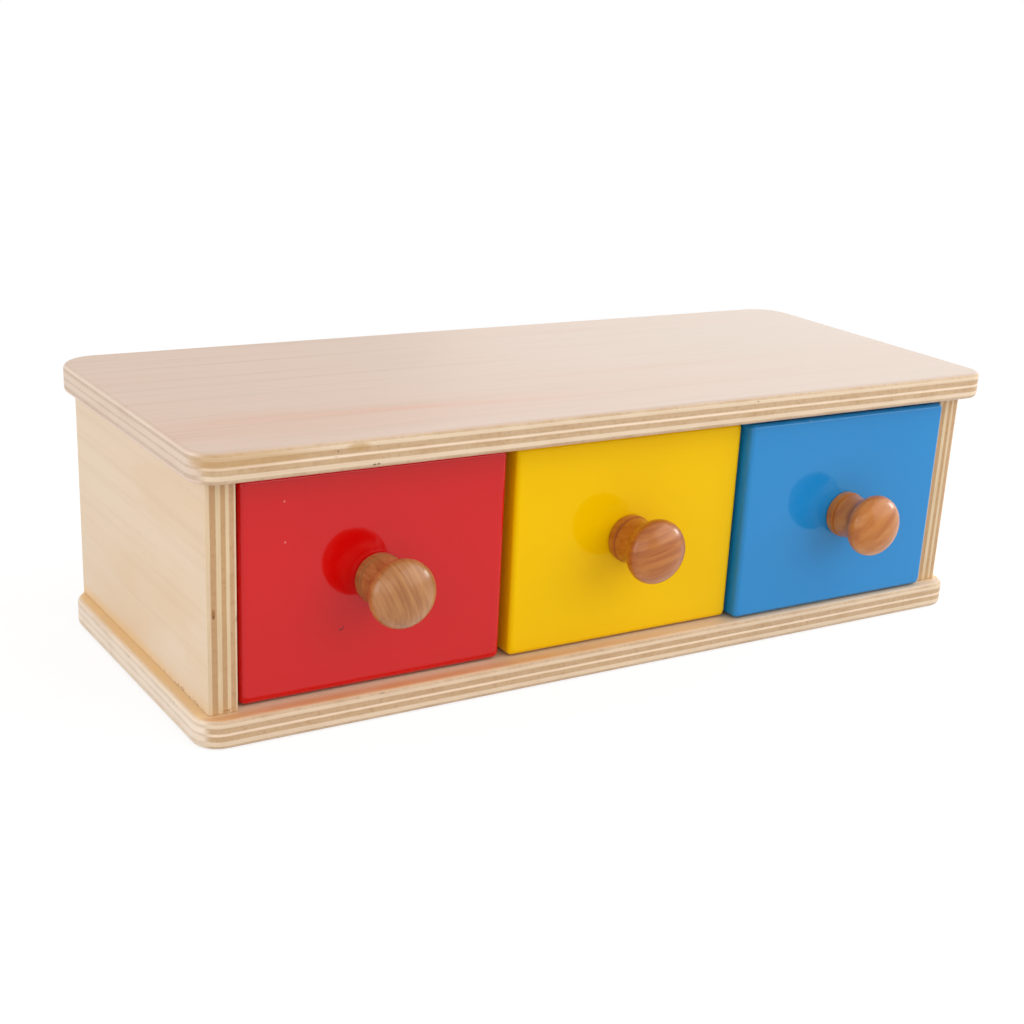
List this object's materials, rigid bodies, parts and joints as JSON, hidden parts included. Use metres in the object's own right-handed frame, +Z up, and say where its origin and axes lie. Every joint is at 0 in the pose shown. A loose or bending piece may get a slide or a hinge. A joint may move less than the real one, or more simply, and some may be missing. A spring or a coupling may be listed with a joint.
{
  "type": "toy drawer box",
  "caption": "Low plywood toy cabinet with painted drawers side by side in red, yellow and blue, each sliding out by a turned wooden knob.",
  "frame": {"origin": "on the ground under the middle of the top board's outline, on the base board's underside", "axes": "+X runs along the length to the right as seen from the front, +Y to the back, +Z up; the drawers slide out along -Y"},
  "size_m": [0.36, 0.1711, 0.1076],
  "materials": {
    "plywood": "birch plywood, sanded and clear lacquered, layers showing on every edge",
    "thin_plywood": "thin birch plywood, sanded, unlacquered",
    "dowel_wood": "plain turned hardwood",
    "red_paint": "smooth gloss paint on wood",
    "yellow_paint": "smooth gloss paint on wood",
    "blue_paint": "smooth gloss paint on wood",
    "knob_wood": "turned hardwood under glossy clear lacquer",
    "screw_steel": "plain zinc-plated steel"
  },
  "bodies": {
    "cabinet": {"top_board": "plywood", "base_board": "plywood", "left_side": "plywood", "right_side": "plywood", "back_panel": "thin_plywood", "left_divider": "plywood", "right_divider": "plywood", "left_dowel_base_front": "dowel_wood", "left_dowel_base_rear": "dowel_wood", "left_dowel_top_front": "dowel_wood", "left_dowel_top_rear": "dowel_wood", "right_dowel_base_front": "dowel_wood", "right_dowel_base_rear": "dowel_wood", "right_dowel_top_front": "dowel_wood", "right_dowel_top_rear": "dowel_wood"},
    "red_drawer": {"red_front": "red_paint", "red_wall_left": "thin_plywood", "red_wall_right": "thin_plywood", "red_wall_back": "thin_plywood", "red_bottom": "thin_plywood", "red_knob": "knob_wood", "red_knob_screw": "screw_steel"},
    "yellow_drawer": {"yellow_front": "yellow_paint", "yellow_wall_left": "thin_plywood", "yellow_wall_right": "thin_plywood", "yellow_wall_back": "thin_plywood", "yellow_bottom": "thin_plywood", "yellow_knob": "knob_wood", "yellow_knob_screw": "screw_steel"},
    "blue_drawer": {"blue_front": "blue_paint", "blue_wall_left": "thin_plywood", "blue_wall_right": "thin_plywood", "blue_wall_back": "thin_plywood", "blue_bottom": "thin_plywood", "blue_knob": "knob_wood", "blue_knob_screw": "screw_steel"}
  },
  "joints": [
    {"name": "red_slide", "type": "slide", "parent": "cabinet", "child": "red_drawer", "axis": [0, -1, 0], "range_m": [0, 0.095]},
    {"name": "yellow_slide", "type": "slide", "parent": "cabinet", "child": "yellow_drawer", "axis": [0, -1, 0], "range_m": [-0.0009, 0.0941]},
    {"name": "blue_slide", "type": "slide", "parent": "cabinet", "child": "blue_drawer", "axis": [0, -1, 0], "range_m": [-0.0058, 0.0892]}
  ]
}
